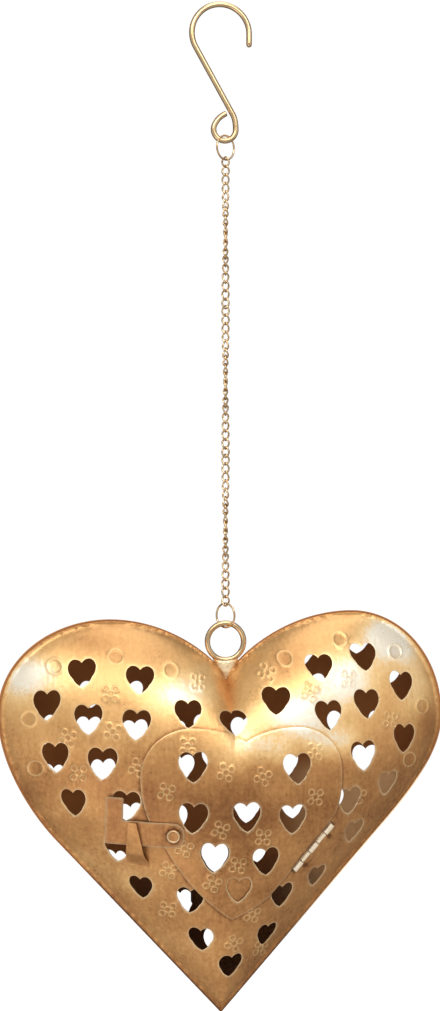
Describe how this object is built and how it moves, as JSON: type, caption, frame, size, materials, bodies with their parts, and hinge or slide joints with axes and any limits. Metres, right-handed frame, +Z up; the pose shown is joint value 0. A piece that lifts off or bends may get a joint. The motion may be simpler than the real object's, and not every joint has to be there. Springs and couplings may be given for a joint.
{
  "type": "pierced heart lantern",
  "caption": "Hanging pierced sheet-metal heart lantern with hinged heart-shaped door, latch, candle cup, curb chain and wire S-hook.",
  "frame": {"origin": "the point under the top of the hook's crook where it rests on its nail", "axes": "+X to the right as seen from the front, +Y to the back, +Z up; the pierced front with the door faces -Y"},
  "size_m": [0.2764, 0.0866, 0.6216],
  "materials": {
    "gold_sheet": "hand-hammered iron sheet with a brushed antique gold coat",
    "gold_wire": "smooth gold-coated steel wire",
    "hinge_metal": "bright pale plated steel",
    "dark_inner_sheet": "dull darkened gold coat"
  },
  "bodies": {
    "hook": {"s_hook": "gold_wire"},
    "upper_ring": {"upper_jump_ring": "gold_wire"},
    "chain_1": {"chain_run_1": "gold_wire"},
    "chain_2": {"chain_run_2": "gold_wire"},
    "chain_3": {"chain_run_3": "gold_wire"},
    "chain_4": {"chain_run_4": "gold_wire"},
    "chain_5": {"chain_run_5": "gold_wire"},
    "chain_6": {"chain_run_6": "gold_wire"},
    "chain_7": {"chain_run_7": "gold_wire"},
    "chain_8": {"chain_run_8": "gold_wire"},
    "chain_9": {"chain_run_9": "gold_wire"},
    "lower_ring": {"lower_jump_ring": "gold_wire"},
    "lantern": {"hanging_ring": "gold_wire", "front_shell": "gold_sheet", "back_shell": "gold_sheet", "hinge_body_leaf": "hinge_metal", "hinge_pin": "hinge_metal", "hinge_rivet_1": "gold_sheet", "hinge_rivet_2": "gold_sheet", "tealight_cup": "dark_inner_sheet", "cup_bracket": "dark_inner_sheet", "bracket_rivet_1": "gold_sheet", "bracket_rivet_2": "gold_sheet"},
    "door": {"door_panel": "gold_sheet", "hinge_door_leaf": "hinge_metal", "latch_rivet": "gold_sheet"},
    "latch": {"latch_strap": "gold_sheet"}
  },
  "joints": [
    {"name": "upper_ring_swing", "type": "hinge", "parent": "hook", "child": "upper_ring", "pos_m": [-0.00053, 0, -0.08168], "axis": [0.866, -0.5, 0], "range_deg": [-40, 40]},
    {"name": "chain_1_swing", "type": "hinge", "parent": "upper_ring", "child": "chain_1", "pos_m": [0, 0, -0.09333], "axis": [-0.809, -0.5878, 0], "range_deg": [-30, 30]},
    {"name": "chain_2_swing", "type": "hinge", "parent": "chain_1", "child": "chain_2", "pos_m": [0, 0, -0.12384], "axis": [-0.9659, 0.2588, 0], "range_deg": [-25, 25]},
    {"name": "chain_3_swing", "type": "hinge", "parent": "chain_2", "child": "chain_3", "pos_m": [0, 0, -0.15432], "axis": [-0.2385, 0.9711, 0], "range_deg": [-25, 25]},
    {"name": "chain_4_swing", "type": "hinge", "parent": "chain_3", "child": "chain_4", "pos_m": [0, 0, -0.1848], "axis": [0.7361, 0.6769, 0], "range_deg": [-25, 25]},
    {"name": "chain_5_swing", "type": "hinge", "parent": "chain_4", "child": "chain_5", "pos_m": [0, 0, -0.21528], "axis": [0.9478, -0.319, 0], "range_deg": [-25, 25]},
    {"name": "chain_6_twist", "type": "hinge", "parent": "chain_5", "child": "chain_6", "pos_m": [0, 0, -0.24576], "axis": [0, 0, 1], "range_deg": [-15, 15]},
    {"name": "chain_7_swing", "type": "hinge", "parent": "chain_6", "child": "chain_7", "pos_m": [0, 0, -0.27624], "axis": [-0.7771, -0.6293, 0], "range_deg": [-25, 25]},
    {"name": "chain_8_swing", "type": "hinge", "parent": "chain_7", "child": "chain_8", "pos_m": [0, 0, -0.30672], "axis": [-0.9259, 0.3778, 0], "range_deg": [-25, 25]},
    {"name": "chain_9_swing", "type": "hinge", "parent": "chain_8", "child": "chain_9", "pos_m": [0, 0, -0.3372], "axis": [0.1149, -0.9934, 0], "range_deg": [-25, 25]},
    {"name": "lower_ring_swing", "type": "hinge", "parent": "chain_9", "child": "lower_ring", "pos_m": [0, 0, -0.36768], "axis": [0.8151, 0.5793, 0], "range_deg": [-30, 30]},
    {"name": "lantern_swing", "type": "hinge", "parent": "lower_ring", "child": "lantern", "pos_m": [0, 0, -0.37833], "axis": [-1, 0, 0], "range_deg": [-35, 35]},
    {"name": "door_hinge", "type": "hinge", "parent": "lantern", "child": "door", "pos_m": [0.04913, -0.02937, -0.51301], "axis": [0.6508, -0.028, 0.7587], "range_deg": [0, 120]},
    {"name": "latch_pivot", "type": "hinge", "parent": "door", "child": "latch", "pos_m": [-0.0372, -0.03726, -0.5021], "axis": [0.2145, 0.9569, 0.1955], "range_deg": [0, 60]}
  ]
}
